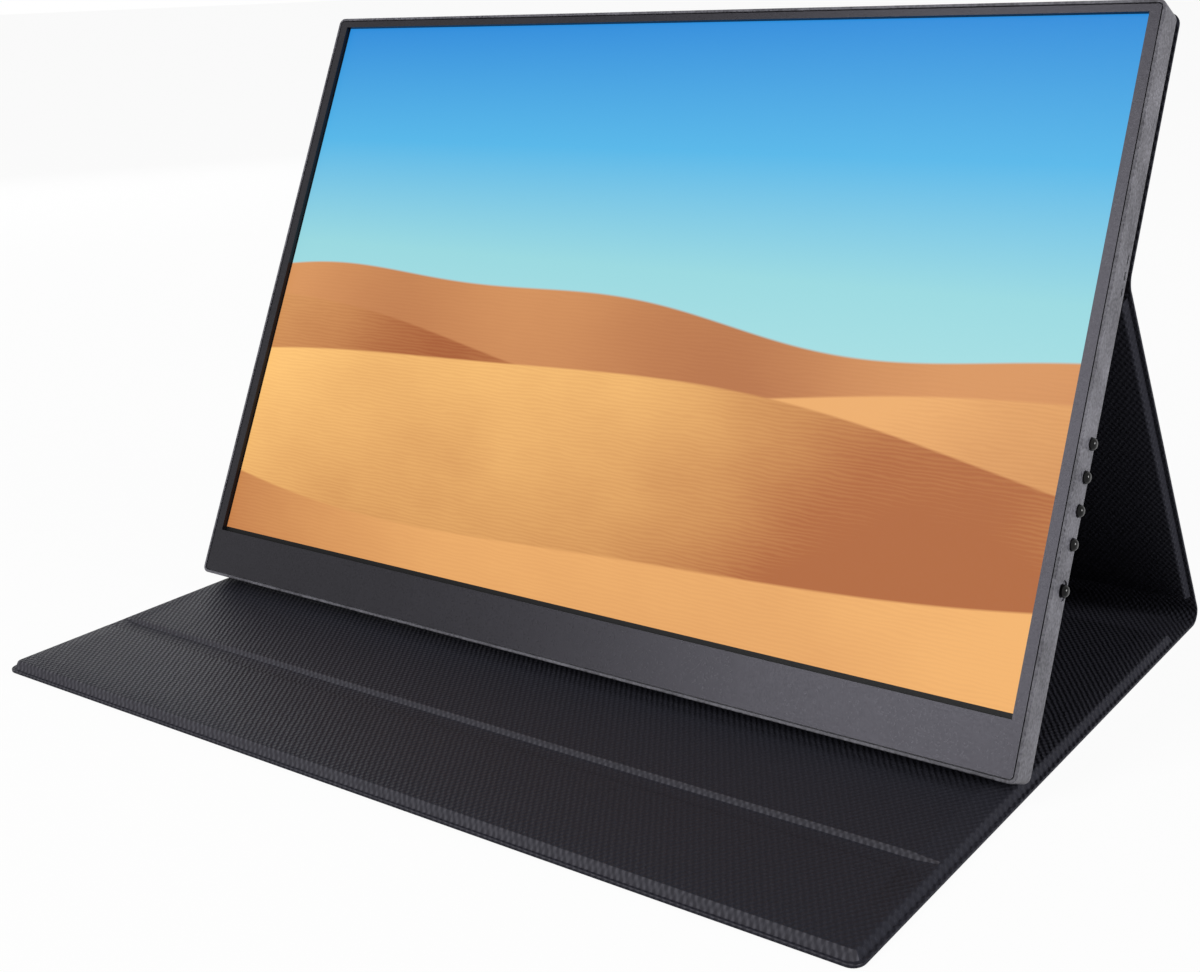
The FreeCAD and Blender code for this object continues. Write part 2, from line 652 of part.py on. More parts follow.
def build_button_board():
    """Button board on edge beside the right wall, its switches and its flat cable."""
    low = "power_up - button_board_margin"
    tall = "power_drop + 3 * button_pitch + 2 * button_board_margin"
    deep = "back_inner - plate_back - button_board_gap"
    node(block("button_board", "button_board_face - board_thick", low, "-back_inner", "board_thick", tall,
               deep, MONITOR), "button_board")
    switches = [block(f"switch_{index}", "button_board_face", f"{up} - switch_size / 2",
                      "-button_depth - switch_size / 2", "switch_height", "switch_size", "switch_size")
                for index, (label, up) in enumerate(button_places())]
    node(group("tact_switches", switches, MONITOR), "tact_switches")
    start = "main_board_right - ribbon_overlap"
    node(block("button_cable", start, "power_up", "-back_inner",
               f"button_board_face - board_thick - ({start})", "ribbon_width", "ribbon_thick", MONITOR),
         "button_cable")


def build_buttons():
    """Domed push buttons with a flange inside the wall."""
    reach = "shell_wall + flange_gap + button_proud"
    for label, up in button_places():
        cap = rod(label + "_cap", "button_diameter", reach, "button_inner + flange_thick", up, "-button_depth",
                  HERE, ACROSS, "90")
        doc.recompute()
        dome = doc.addObject("Part::Fillet", label + "_dome")
        dome.Base = cap
        rim = max(range(len(cap.Shape.Edges)), key=lambda index: cap.Shape.Edges[index].CenterOfMass.x)
        dome.Edges = [(rim + 1, measure("button_dome"), measure("button_dome"))]
        flange = rod(label + "_flange", "button_diameter + 2 * flange_lip", "flange_thick", "button_inner", up,
                     "-button_depth", HERE, ACROSS, "90")
        node(joined(label, [dome, flange], MONITOR), label)


def build_speakers():
    """Flat loudspeakers in the lower corners, and their leads."""
    outer = "half_width - speaker_in"
    for label, left in (("speaker_left", f"-({outer})"), ("speaker_right", f"{outer} - speaker_length")):
        node(block(label, left, "speaker_low", "-back_inner", "speaker_length", "speaker_height",
                   "speaker_depth", MONITOR), label)
    top = "speaker_low + speaker_height"
    left_lead = block("left_lead", f"-({outer}) + lead_left_share * speaker_length", top, "-back_inner",
                      "lead_size", f"main_board_low + boss_inset - ({top})", "lead_size")
    drop = "main_board_right - lead_drop_share * main_board_width / 2"
    up = f"{top} + lead_gap"
    along = block("right_lead_along", drop, up, "-back_inner", f"{outer} - speaker_length / 2 - ({drop})",
                  "lead_size", "lead_size")
    rise = block("right_lead_rise", drop, up, "-back_inner", "lead_size",
                 f"main_board_low + boss_inset - ({up})", "lead_size")
    foot = block("right_lead_foot", f"{outer} - speaker_length / 2 - lead_size", top, "-back_inner", "lead_size",
                 "lead_gap + lead_size", "lead_size")
    right_lead = joined("right_lead", [along, rise, foot])
    node(group("speaker_leads", [left_lead, right_lead], MONITOR), "speaker_leads")


def build_pads_and_magnets():
    """Foam behind the display, holding magnets in the case, adhesive to the cover."""
    pads = []
    magnets = []
    for side in (-1, 1):
        pads.append(block(f"foam_{side + 1}", f"{side} * foam_out_share * screen_width - foam_width / 2",
                          "foam_up_share * monitor_height", "-back_inner", "foam_width", "foam_height",
                          "back_inner - plate_back"))
        magnets.append(rod(f"case_magnet_{side + 1}", "magnet_diameter", "magnet_thick",
                           f"{side} * shell_magnet_share * monitor_width", "monitor_height - magnet_in",
                           "-back_inner"))
    node(group("foam_pads", pads, MONITOR), "foam_pads")
    node(group("shell_magnets", magnets, MONITOR), "shell_magnets")
    layer("cover_adhesive", "cover_width - 2 * adhesive_margin", "upper_low + adhesive_margin",
          "monitor_height - upper_low - 2 * adhesive_margin", "monitor_depth", "adhesive_thick")


def build_panel(name, length, frame, y, z, folds, flush=None, corner=None, free_end="0", magnets=False):
    """One stiff panel of the cover: a board between a flat skin and a lining that slopes down to its rim.

    The panel runs from y along its frame, with its outer face at z. The skin goes straight on at the ends
    that are folds, and the lining keeps its height at a flush end. Where a corner radius is given, the
    corners at the free end are round.
    """
    gap = "(rim_slope + board_clear)"
    top = measure("panel_thick")
    fold_ends = [measure(end) for end in folds]
    flush_ends = [measure(flush)] if flush else []

    def sheet(part, inset, level, thick):
        """One layer of the panel, inside the panel's outline by an inset."""
        return plate(f"{name}_{part}", f"cover_width - 2 * {inset}", inset, f"{length} - 2 * {inset}", level,
                     thick, corner and f"{corner} - {inset}", (inside(free_end, inset),))

    def away_from(ends, middle):
        """True for a point that lies at none of the given ends."""
        return all(abs(middle.y - end) > NEAR for end in ends)

    skin = sheet("sheet", "0", "0", "skin_thick")
    soften(skin, "skin_round", lambda middle, along: abs(middle.z) < NEAR and away_from(fold_ends, middle))
    board = sheet("board", gap, "skin_thick", "stiffener_thick")
    if magnets:
        board = fit_magnets(name, board, length, frame, y, z)
    cap = sheet("cap", "0", "skin_thick", "stiffener_thick + lining_thick")
    slope(cap, "rim_slope", lambda middle, along: abs(middle.z - top) < NEAR and away_from(flush_ends, middle))
    hollow = sheet("hollow", "rim_slope", "skin_thick - overrun", "stiffener_thick + overrun")
    lining = cut(name + "_formed", cap, [hollow])
    for part, item in (("skin", skin), ("stiffener", board), ("lining", lining)):
        put(item, frame, "0", y, z)
        node(item, f"{name}_{part}")


def inside(end, gap):
    """The end of a panel, or of what lies inside it by a gap."""
    return gap if end == "0" else f"{end} - {gap}"


def fit_magnets(name, board, length, frame, y, z):
    """Put two magnets in holes of a panel's board, and give the board with its holes."""
    holes = []
    discs = []
    for side in (-1, 1):
        across = f"{side} * flap_magnet_share * monitor_width"
        holes.append(rod(f"{name}_magnet_hole_{side + 1}", "magnet_diameter + 2 * board_clear",
                         "stiffener_thick + 2 * overrun", across, f"({length}) / 2", "skin_thick - overrun"))
        discs.append(rod(f"{name}_magnet_{side + 1}", "magnet_diameter", "magnet_thick", across,
                         f"({length}) / 2", "skin_thick"))
    pair = group(name + "_magnets", discs)
    put(pair, frame, "0", y, z)
    node(pair, name + "_magnets")
    return cut(name + "_board_holed", board, holes)


def build_cover():
    """Four stiff panels of the cover."""
    build_panel("upper", "upper_length", MONITOR, "upper_low", "-upper_outer", ("0",), corner="upper_corner",
                free_end="upper_length")
    build_panel("leg", "leg_length", LEG, "leg_soft", "0", ("0", "leg_length"))
    build_panel("base", "base_length", HERE, "base_front", "0", ("0", "base_length"), flush="0")
    build_panel("flap", "flap_length", HERE, "flap_front", "0", ("flap_length",), flush="flap_length",
                corner="flap_corner", magnets=True)


def arc_strip(name, inner_radius, outer_radius, turn, frame, y, z, side):
    """A bent strip across the cover, whose arc starts square to a frame's face and bends up its Y."""
    parts = []
    start = f"{-side} * cover_width / 2"
    for part, radius in (("outer", outer_radius), ("inner", inner_radius)):
        item = doc.addObject("Part::Cylinder", f"{name}_{part}")
        bind(item, Radius=radius, Height="cover_width", Angle=turn)
        put(item, frame, start, y, z, ACROSS, f"{side} * 90")
        parts.append(item)
    return cut(name + "_arc", parts[0], parts[1:])


def build_folds():
    """Soft folds: skin and lining with no board between them."""
    bend = arc_strip("rear_fold", "rear_fold_radius - strip_thick", "rear_fold_radius", "leg_turn", HERE,
                     "rear_axis_back", "rear_fold_radius", 1)
    floor_run = block("rear_fold_floor", "-cover_width / 2", "rear_axis_back - base_soft", "0", "cover_width",
                      "base_soft", "strip_thick")
    leg_run = block("rear_fold_leg", "-cover_width / 2", "0", "0", "cover_width", "leg_soft", "strip_thick", LEG)
    node(joined("rear_fold_strip", [floor_run, bend, leg_run]), "rear_fold_strip")
    bend = arc_strip("mid_fold", "mid_fold_radius", "mid_fold_radius + strip_thick", "mid_turn", LEG,
                     "leg_run", "-mid_fold_radius", -1)
    node(bend, "mid_fold_strip")
    strip = plate("front_fold_sheet", "cover_width", "flap_back", "front_fold_width", "0",
                  "panel_thick - front_fold_dip")
    slope(strip, "front_fold_slope", lambda middle, along: abs(along.y) > abs(along.x) and middle.z > NEAR)
    node(strip, "front_fold_strip")


def write_pieces():
    """Check every object and piece, then write one file for each piece."""
    doc.recompute()
    failed = [item.Name for item in doc.Objects if {"Invalid", "Error"} & set(item.State)]
    if failed:
        raise ValueError(f"objects that failed: {failed}")
    for item in nodes:
        if item.Shape.isNull() or not item.Shape.isValid():
            raise ValueError(f"{item.Label} has no valid shape")
    os.makedirs("parts", exist_ok=True)
    for item in nodes:
        item.Shape.exportStep(f"parts/{item.Label}.step")
    print(f"{len(nodes)} pieces written")
    for fold in ("rear_pivot_back", "rear_pivot_rise", "mid_fold_back", "mid_fold_rise", "front_pivot_back",
                 "front_pivot_rise", "leg_turn", "mid_turn", "button_travel_gap"):
        print(fold, round(measure(fold), 4))


def main():
    """Build the sheets, every piece and the files."""
    fill_sheets()
    build_front_bezel()
    build_rear_shell()
    build_display()
    build_main_board()
    build_sockets()
    build_driver_board()
    build_button_board()
    build_buttons()
    build_speakers()
    build_pads_and_magnets()
    build_cover()
    build_folds()
    write_pieces()


main()
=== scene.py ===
"""Portable monitor on its folding cover: the cover's soft pieces, all finishes and a plain studio.

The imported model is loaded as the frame. Everything is in metres, in that frame: X runs across the screen,
Y from the flap to the rear fold, Z up from the table. The cover is one path of panels and folds, so each
panel is modelled flat, with Y along the path and Z towards the lining, and then turned into its place.
"""
import json
from math import atan2, cos, pi, radians, sin, tan

import bmesh
import bpy
from bpy.props import FloatProperty, FloatVectorProperty, PointerProperty, StringProperty
from bpy.types import Operator, Panel, PropertyGroup
from mathutils import Matrix, Vector

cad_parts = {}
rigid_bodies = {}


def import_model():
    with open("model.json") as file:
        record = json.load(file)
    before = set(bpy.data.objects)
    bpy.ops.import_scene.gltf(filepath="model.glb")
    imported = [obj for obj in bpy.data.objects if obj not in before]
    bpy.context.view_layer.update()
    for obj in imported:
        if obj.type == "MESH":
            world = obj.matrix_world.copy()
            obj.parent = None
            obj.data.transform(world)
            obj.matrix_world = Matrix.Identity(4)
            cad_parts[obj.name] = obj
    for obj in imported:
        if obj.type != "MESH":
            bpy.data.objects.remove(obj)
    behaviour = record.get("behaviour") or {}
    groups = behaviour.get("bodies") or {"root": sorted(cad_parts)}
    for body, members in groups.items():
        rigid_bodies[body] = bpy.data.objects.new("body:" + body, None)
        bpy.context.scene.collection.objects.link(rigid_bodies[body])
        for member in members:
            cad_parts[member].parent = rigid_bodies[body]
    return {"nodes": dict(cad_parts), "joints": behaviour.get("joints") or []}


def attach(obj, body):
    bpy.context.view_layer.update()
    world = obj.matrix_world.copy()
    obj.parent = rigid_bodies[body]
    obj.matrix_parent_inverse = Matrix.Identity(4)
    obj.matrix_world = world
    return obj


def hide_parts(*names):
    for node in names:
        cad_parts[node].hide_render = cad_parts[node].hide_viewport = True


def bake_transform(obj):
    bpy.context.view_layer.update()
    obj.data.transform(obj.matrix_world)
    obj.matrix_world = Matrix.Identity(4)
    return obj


bl_info = {
    "name": "Portable monitor with folding cover",
    "version": (1, 0, 0),
    "blender": (4, 5, 0),
    "location": "3D View > Sidebar > Monitor",
    "description": "Cover pieces, finishes and studio for a portable monitor on its folding cover",
    "category": "Object",
}

for item in list(bpy.data.objects):
    bpy.data.objects.remove(item)
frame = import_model()
NODES = frame["nodes"]
JOINTS = {joint["name"]: joint for joint in frame["joints"]}
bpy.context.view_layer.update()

MM = 0.001
NEAR = 2e-5
CLOTH_MAP = "cloth"
# Least part of its normal along an axis for a face to be square to it
SQUARE_ON = 0.9
# How far a face leans outwards, inwards and to the front to count as skin or as a slope at the front, whose
# lining is painted lighter: painted light on those slopes
OUTWARD, INWARD, FRONTWARD = -0.5, 0.15, -0.3
# Least angles between two faces, in radians, for a slight, a plain and a sharp crease
SLIGHT, PLAIN, SHARP = 0.3, 0.4, 0.8
SMOOTH_BELOW = radians(35)
# Steps round a corner and along the bends of the rear and the middle fold
CORNER_STEPS, REAR_STEPS, MIDDLE_STEPS = 8, 20, 12


def turned_box(turn, *nodes):
    """Lowest and highest corner of CAD nodes in a frame that is turned about X from the table's."""
    back = Matrix.Rotation(-turn, 3, "X")
    points = [back @ vertex.co for node in nodes for vertex in NODES[node].data.vertices]
    return (Vector([min(point[axis] for point in points) for axis in range(3)]),
            Vector([max(point[axis] for point in points) for axis in range(3)]))


LEG_TURN = radians(JOINTS["rear_fold"]["range_deg"][1])
SCREEN_TURN = LEG_TURN - radians(JOINTS["mid_fold"]["range_deg"][1])
BASE = turned_box(0, "base_skin", "base_lining")
FLAP = turned_box(0, "flap_skin", "flap_lining")
LEG = turned_box(LEG_TURN, "leg_skin", "leg_lining")
UPPER = turned_box(SCREEN_TURN, "upper_skin", "upper_lining")
FRONT_STRIP = turned_box(0, "front_fold_strip")
REAR_STRIP = turned_box(0, "rear_fold_strip")
CASE = turned_box(SCREEN_TURN, "rear_shell")


# Values that a user would change

class CoverSizes(PropertyGroup):
    """Sizes of the cover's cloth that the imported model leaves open."""
    rim: FloatProperty(name="Rim", description="Thickness of skin and lining where they meet",
                       default=1.3 * MM, unit="LENGTH")
    rim_width: FloatProperty(name="Rim width", description="Flat rim round the raised lining",
                             default=1.3 * MM, unit="LENGTH")
    slope_run: FloatProperty(name="Slope run", description="Run of the lining's slope up from the rim",
                             default=1.2 * MM, unit="LENGTH")
    crown: FloatProperty(name="Crown", description="Rise of the lining from the slope's top to its middle",
                         default=0.45 * MM, unit="LENGTH")
    crown_run: FloatProperty(name="Crown run", description="Run of the lining's gentle rise",
                             default=8 * MM, unit="LENGTH")
    corner: FloatProperty(name="Flap corners", description="Corner radius of the flap",
                          default=4 * MM, unit="LENGTH")
    top_corner: FloatProperty(name="Top corners", description="Corner radius of the upper panel",
                              default=4 * MM, unit="LENGTH")
    soft_edge: FloatProperty(name="Soft edges", description="Round of the rim's edges",
                             default=0.55 * MM, unit="LENGTH")
    soft_slope: FloatProperty(name="Soft slope", description="Round at the top of the lining's slope",
                              default=0.6 * MM, unit="LENGTH")
    valley_slope: FloatProperty(name="Valley slope", description="Run of the slopes beside the front fold",
                                default=1.2 * MM, unit="LENGTH")


class ClothColours(PropertyGroup):
    """Grain and colours of the coated cloth of the cover."""
    ridge: StringProperty(name="Ridge", description="sRGB colour of the grain's ridges", default="#2D2D34")
    valley: StringProperty(name="Valley", description="sRGB colour between the ridges", default="#26262C")
    # Ridge and valley colours for the slopes that face the front: lighter than the lining's, as painted light
    # on those slopes
    stretched: StringProperty(name="Stretched", description="sRGB colour of ridges on the lining's slopes",
                              default="#4E4D53")
    painted_lit_slope_valley: StringProperty(name="Stretched valley", description="sRGB colour between those ridges",
                                     default="#37363B")
    skin_ridge: StringProperty(name="Skin ridge", description="sRGB colour of the outer grain's ridges",
                               default="#222126")
    skin_valley: StringProperty(name="Skin valley", description="sRGB colour between the outer ridges",
                                default="#151418")
    spacing: FloatProperty(name="Ridge spacing", description="Distance from ridge to ridge",
                           default=1.8 * MM, unit="LENGTH")
    slant: FloatProperty(name="Ridge slant", description="Angle of the spacing from straight across",
                         default=radians(34.2), subtype="ANGLE")


class CaseColours(PropertyGroup):
    """Colours of the monitor's case and buttons."""
    bezel: StringProperty(name="Front plate", description="sRGB colour of the front plate", default="#19181C")
    shell: StringProperty(name="Rear shell", description="sRGB colour of the rear shell", default="#706F76")
    button: StringProperty(name="Buttons", description="sRGB colour of the buttons", default="#08080A")


class PictureSizes(PropertyGroup):
    """The lit picture on the display."""
    width: FloatProperty(name="Width", description="Lit picture, across", default=344.7 * MM, unit="LENGTH")
    height: FloatProperty(name="Height", description="Lit picture, up", default=215.4 * MM, unit="LENGTH")
    chin: FloatProperty(name="Chin", description="Case below the lit picture", default=19.7 * MM,
                        unit="LENGTH")


class StudioSizes(PropertyGroup):
    """Camera and even light."""
    place: FloatVectorProperty(name="Camera", description="Place of the camera", subtype="TRANSLATION",
                               default=(0.34670, -0.42924, 0.23469))
    yaw: FloatProperty(name="Yaw", description="Camera turned left from straight back", subtype="ANGLE",
                       default=0.6147)
    pitch: FloatProperty(name="Pitch", description="Camera turned down", subtype="ANGLE", default=0.2640)
    roll: FloatProperty(name="Roll", description="Camera turned about its own line", subtype="ANGLE",
                        default=-0.0370)
    lens: FloatProperty(name="Lens", description="Focal length on a 36 mm frame, in mm", default=48.506)
    shift: FloatVectorProperty(name="Shift", description="Lens shift, in frame widths", size=2,
                               default=(-0.07805, -0.05725))
    fill: FloatProperty(name="Fill", description="Strength of the even light from all round", default=0.1)


# Modelling helpers

def start_shape(name, add_primitive, scale, **place):
    """Add a primitive, alone and in edit mode, with its place in its mesh."""
    bpy.ops.object.select_all(action="DESELECT")
    add_primitive(size=1, **place)
    made = bpy.context.object
    made.name = made.data.name = name
    made.scale = scale
    bpy.ops.object.transform_apply(location=True, rotation=True, scale=True)
    bpy.ops.object.mode_set(mode="EDIT")
    return made


def start_block(name, low, high):
    """Add a block between two corners."""
    low, high = Vector(low), Vector(high)
    return start_shape(name, bpy.ops.mesh.primitive_cube_add, high - low, location=(low + high) / 2)


def start_end(name, half, along, low, high):
    """Add an upright face across the cover, between two levels at one place along its path."""
    return start_shape(name, bpy.ops.mesh.primitive_plane_add, (2 * half, high - low, 1),
                       location=(0, along, (low + high) / 2), rotation=(pi / 2, 0, 0))


def slice_at(axis, *places):
    """Cut the mesh in edit mode across one axis at each place."""
    for place in places:
        bpy.ops.mesh.select_all(action="SELECT")
        at, normal = [0, 0, 0], [0, 0, 0]
        at[axis], normal[axis] = place, 1
        bpy.ops.mesh.bisect(plane_co=at, plane_no=normal)


def pick(kind, test):
    """Select in edit mode only the points, edges or faces that pass the test."""
    bpy.ops.mesh.select_all(action="DESELECT")
    bpy.ops.mesh.select_mode(type={"verts": "VERT", "edges": "EDGE", "faces": "FACE"}[kind])
    mesh = bmesh.from_edit_mesh(bpy.context.object.data)
    chosen = [part for part in getattr(mesh, kind) if test(part)]
    if not chosen:
        raise RuntimeError(f"nothing of {bpy.context.object.name} passes the test for {kind}")
    for part in chosen:
        part.select_set(True)
    mesh.select_flush_mode()
    bmesh.update_edit_mesh(bpy.context.object.data)


def ends_at(edge, axis, place):
    """True where both ends of an edge lie at a place on an axis."""
    return all(abs(end.co[axis] - place) < NEAR for end in edge.verts)


def bevel(width, steps):
    """Round the selected edges."""
    bpy.ops.mesh.bevel(offset=width, offset_type="OFFSET", segments=steps, profile=0.5, clamp_overlap=True)


def lift(distance):
    """Move what is selected up."""
    bpy.ops.transform.translate(value=(0, 0, distance))


def spin(centre, turn, steps):
    """Sweep the selected face about an X line. The spin operator counts angles the other way."""
    bpy.ops.mesh.spin(steps=steps, angle=-turn, center=centre, axis=(1, 0, 0))


def finish_mesh(piece, turn=0.0):
    """Leave edit mode, turn the piece into its place about the table's X line and smooth its soft edges."""
    bpy.ops.mesh.select_all(action="SELECT")
    bpy.ops.mesh.remove_doubles(threshold=NEAR / 4)
    bpy.ops.mesh.normals_make_consistent(inside=False)
    bpy.ops.object.mode_set(mode="OBJECT")
    if turn:
        piece.rotation_euler = (turn, 0, 0)
        bpy.ops.object.transform_apply(location=True, rotation=True, scale=True)
    bpy.ops.object.shade_smooth_by_angle(angle=SMOOTH_BELOW)


def map_cloth(piece, along=lambda point: point.y, turn_at=lambda point: 0.0):
    """Give a piece a UV map in metres, across the cover and along its path, and mark its outer faces.

    The path's own turn at a point tells which faces look outwards. Those get the second material, and the
    slopes that face the flap's front edge get the third, a lighter copy of the lining: painted light on them.
    """
    bpy.ops.object.mode_set(mode="OBJECT")
    mesh = piece.data
    layer = mesh.uv_layers.get(CLOTH_MAP) or mesh.uv_layers.new(name=CLOTH_MAP)
    for face in mesh.polygons:
        turn = turn_at(face.center)
        inward = Vector((0, -sin(turn), cos(turn)))
        if face.normal.dot(inward) < OUTWARD:
            face.material_index = 1
        # Slopes that face the front get the lighter lining: painted light
        elif face.normal.dot(inward) > INWARD and face.normal.y < FRONTWARD and turn == 0:
            face.material_index = 2
        for loop in face.loop_indices:
            point = mesh.vertices[mesh.loops[loop].vertex_index].co
            across = point.x + point.z if abs(face.normal.x) > SQUARE_ON else point.x
            layer.data[loop].uv = (across, along(point))
    bpy.ops.object.mode_set(mode="EDIT")


def dress(piece):
    """Give a piece of the cover its three finishes."""
    for finish in ("embossed_lining", "embossed_skin", "stretched_lining"):
        piece.data.materials.append(bpy.data.materials[finish])


# Materials

def hex_colour(text):
    """Linear colour of an sRGB hex value."""
    parts = [int(text[place:place + 2], 16) / 255 for place in (1, 3, 5)]
    return [part / 12.92 if part <= 0.04045 else ((part + 0.055) / 1.055) ** 2.4 for part in parts] + [1]


def feed(node, inputs):
    """Set or link a node's inputs by name or number."""
    for name, value in inputs.items():
        if isinstance(value, bpy.types.NodeSocket):
            node.id_data.links.new(value, node.inputs[name])
        else:
            node.inputs[name].default_value = value


def add(tree, kind, inputs=None, **settings):
    """Add a node with its settings and inputs."""
    made = tree.nodes.new(kind)
    for name, value in settings.items():
        setattr(made, name, value)
    feed(made, inputs or {})
    return made


def new_finish(name):
    """A material with only its output and a principled shader, and the tree that they stand in."""
    finish = bpy.data.materials.new(name)
    finish.use_nodes = True
    tree = finish.node_tree
    tree.nodes.clear()
    shader = add(tree, "ShaderNodeBsdfPrincipled")
    add(tree, "ShaderNodeOutputMaterial", {"Surface": shader.outputs[0]})
    return tree, shader


def blend_colour(tree, factor, low, high):
    """Mix two colours, given as hex values or sockets, by a socket."""
    values = [hex_colour(value) if isinstance(value, str) else value for value in (low, high)]
    mixed = add(tree, "ShaderNodeMix", {0: factor, 6: values[0], 7: values[1]}, data_type="RGBA")
    return mixed.outputs[2]


def sum_of(tree, operation, first, second):
    """One step of arithmetic on numbers or sockets."""
    return add(tree, "ShaderNodeMath", {0: first, 1: second}, operation=operation).outputs[0]


def weigh(tree, *parts):
    """Sum of sockets, each times its own weight."""
    products = [sum_of(tree, "MULTIPLY", value, weight) for value, weight in parts]
    total = products[0]
    for product in products[1:]:
        total = sum_of(tree, "ADD", total, product)
    return total


def spread(tree, value, low, high, new_low=0.0, new_high=1.0):
    """Map a range of a value to another range, and stop at its ends."""
    inputs = {"Value": value, "From Min": low, "From Max": high, "To Min": new_low, "To Max": new_high}
    return add(tree, "ShaderNodeMapRange", inputs).outputs[0]


def band_scale(spacing):
    """Scale of a band texture for a spacing in metres between its lines."""
    return 2 * pi / (20 * spacing)


def grain_scale(size):
    """Scale of a noise texture for a grain size in metres."""
    return 1 / size


def object_point(tree):
    """The point on the piece, in metres."""
    return add(tree, "ShaderNodeTexCoord").outputs["Object"]


def noise_at(tree, point, size, detail=2.0):
    """Noise with grains of a size in metres."""
    inputs = {"Vector": point, "Scale": grain_scale(size), "Detail": detail}
    return add(tree, "ShaderNodeTexNoise", inputs).outputs[0]


def uneven(tree, noise, middle, by):
    """A value that a noise shifts up and down from its middle."""
    return spread(tree, noise, 0.3, 0.7, middle - by, middle + by)


def raise_surface(tree, shader, height, depth):
    """Bump the shader's surface by a height socket, over a depth in metres."""
    bump = add(tree, "ShaderNodeBump", {"Height": height, "Distance": depth})
    feed(shader, {"Normal": bump.outputs[0]})


def moulded_plastic(name, colour, dark, grain, depth, roughness, by=0.08, specular=0.5, tint="#FFFFFF"):
    """Moulded ABS: an eroded mould leaves fine pits, so gloss and colour are a little uneven."""
    tree, shader = new_finish(name)
    point = object_point(tree)
    fine = noise_at(tree, point, grain, 3)
    broad = noise_at(tree, point, 14 * MM)
    patch = weigh(tree, (fine, 0.65), (broad, 0.35))
    feed(shader, {"Base Color": blend_colour(tree, spread(tree, patch, 0.35, 0.65), dark, colour),
                  "Roughness": uneven(tree, fine, roughness, by), "IOR": 1.53,
                  "Specular IOR Level": specular, "Specular Tint": hex_colour(tint)})
    raise_surface(tree, shader, fine, depth)


def coated_cloth(name, cloth, ridge, valley, depth, roughness):
    """Polyurethane on cloth, embossed with a twill grain: slanting ridges catch the light in short runs."""
    tree, shader = new_finish(name)
    sheet = add(tree, "ShaderNodeUVMap", uv_map=CLOTH_MAP).outputs[0]
    runs = []
    for turn, wander in ((-cloth.slant, 1.3), (cloth.slant, 1.0)):
        placed = add(tree, "ShaderNodeMapping", {"Vector": sheet, "Rotation": (0, 0, turn)}).outputs[0]
        inputs = {"Vector": placed, "Scale": band_scale(cloth.spacing), "Distortion": wander,
                  "Detail": 1.0, "Detail Scale": 1.5}
        runs.append(add(tree, "ShaderNodeTexWave", inputs, wave_profile="SIN").outputs[1])
    weave = weigh(tree, (runs[0], 0.6), (runs[1], 0.4))
    breaks = spread(tree, noise_at(tree, sheet, 0.7 * MM), 0.3, 0.6, 0.55, 1.0)
    height = sum_of(tree, "MULTIPLY", weave, breaks)
    lit = sum_of(tree, "ADD", height, uneven(tree, noise_at(tree, sheet, 45 * MM), 0.0, 0.06))
    feed(shader, {"Base Color": blend_colour(tree, spread(tree, lit, 0.25, 0.8), valley, ridge),
                  "Roughness": spread(tree, height, 0.2, 0.8, roughness + 0.1, roughness - 0.06), "IOR": 1.5,
                  "Specular IOR Level": 0.03, "Specular Tint": hex_colour("#DCE4FF")})
    raise_surface(tree, shader, height, depth)


def plated_metal(name, colour, dark, roughness, line=None):
    """Rolled or plated metal: fine rolling lines or a light mottle in the gloss."""
    tree, shader = new_finish(name)
    point = object_point(tree)
    if line:
        point = add(tree, "ShaderNodeMapping", {"Vector": point, "Scale": (0.03, 1, 1)}).outputs[0]
    mottle = noise_at(tree, point, line or 1.2 * MM, 3)
    feed(shader, {"Base Color": blend_colour(tree, mottle, dark, colour),
                  "Roughness": uneven(tree, mottle, roughness, 0.07), "Metallic": 1.0})
    raise_surface(tree, shader, mottle, 0.01 * MM)


def fibre_board(name):
    """Grey board of pressed paper: matt, with short fibres and flecks."""
    tree, shader = new_finish(name)
    point = add(tree, "ShaderNodeMapping", {"Vector": object_point(tree), "Scale": (1, 0.35, 1)}).outputs[0]
    fibres = noise_at(tree, point, 0.8 * MM, 5)
    flecks = uneven(tree, fibres, 0.5, 0.5)
    feed(shader, {"Base Color": blend_colour(tree, flecks, "#857C6E", "#A89D8B"), "Roughness": 0.92})
    raise_surface(tree, shader, fibres, 0.08 * MM)


def soft_film(name, colour, dark, roughness, grain):
    """Thin plastic film or sleeve: even colour with a faint grain in its gloss."""
    tree, shader = new_finish(name)
    grains = noise_at(tree, object_point(tree), grain)
    feed(shader, {"Base Color": blend_colour(tree, grains, dark, colour),
                  "Roughness": uneven(tree, grains, roughness, 0.05), "IOR": 1.5})
    raise_surface(tree, shader, grains, 0.02 * MM)


def clear_sheet(name):
    """Acrylic light guide: clear, with rows of printed dots on its face."""
    tree, shader = new_finish(name)
    inputs = {"Vector": object_point(tree), "Scale": grain_scale(1.5 * MM)}
    spots = spread(tree, add(tree, "ShaderNodeTexVoronoi", inputs).outputs[0], 0.25, 0.3)
    feed(shader, {"Base Color": blend_colour(tree, spots, "#F2F4F4", "#DCE6E6"),
                  "Roughness": spread(tree, spots, 0, 1, 0.5, 0.08), "Transmission Weight": 0.8, "IOR": 1.49})


def circuit_laminate(name):
    """Glass fibre laminate under green lacquer: copper tracks show as paler lines in it."""
    tree, shader = new_finish(name)
    point = object_point(tree)
    inputs = {"Vector": point, "Scale": grain_scale(6 * MM), "Mortar Size": 0.05, "Mortar Smooth": 0.1,
              "Brick Width": 0.9, "Row Height": 0.35}
    tracks = add(tree, "ShaderNodeTexBrick", inputs).outputs[1]
    green = blend_colour(tree, noise_at(tree, point, 0.5 * MM), "#0E4A2C", "#145A36")
    feed(shader, {"Base Color": blend_colour(tree, tracks, green, "#2C7A4C"), "Roughness": 0.35})
    raise_surface(tree, shader, tracks, 0.04 * MM)


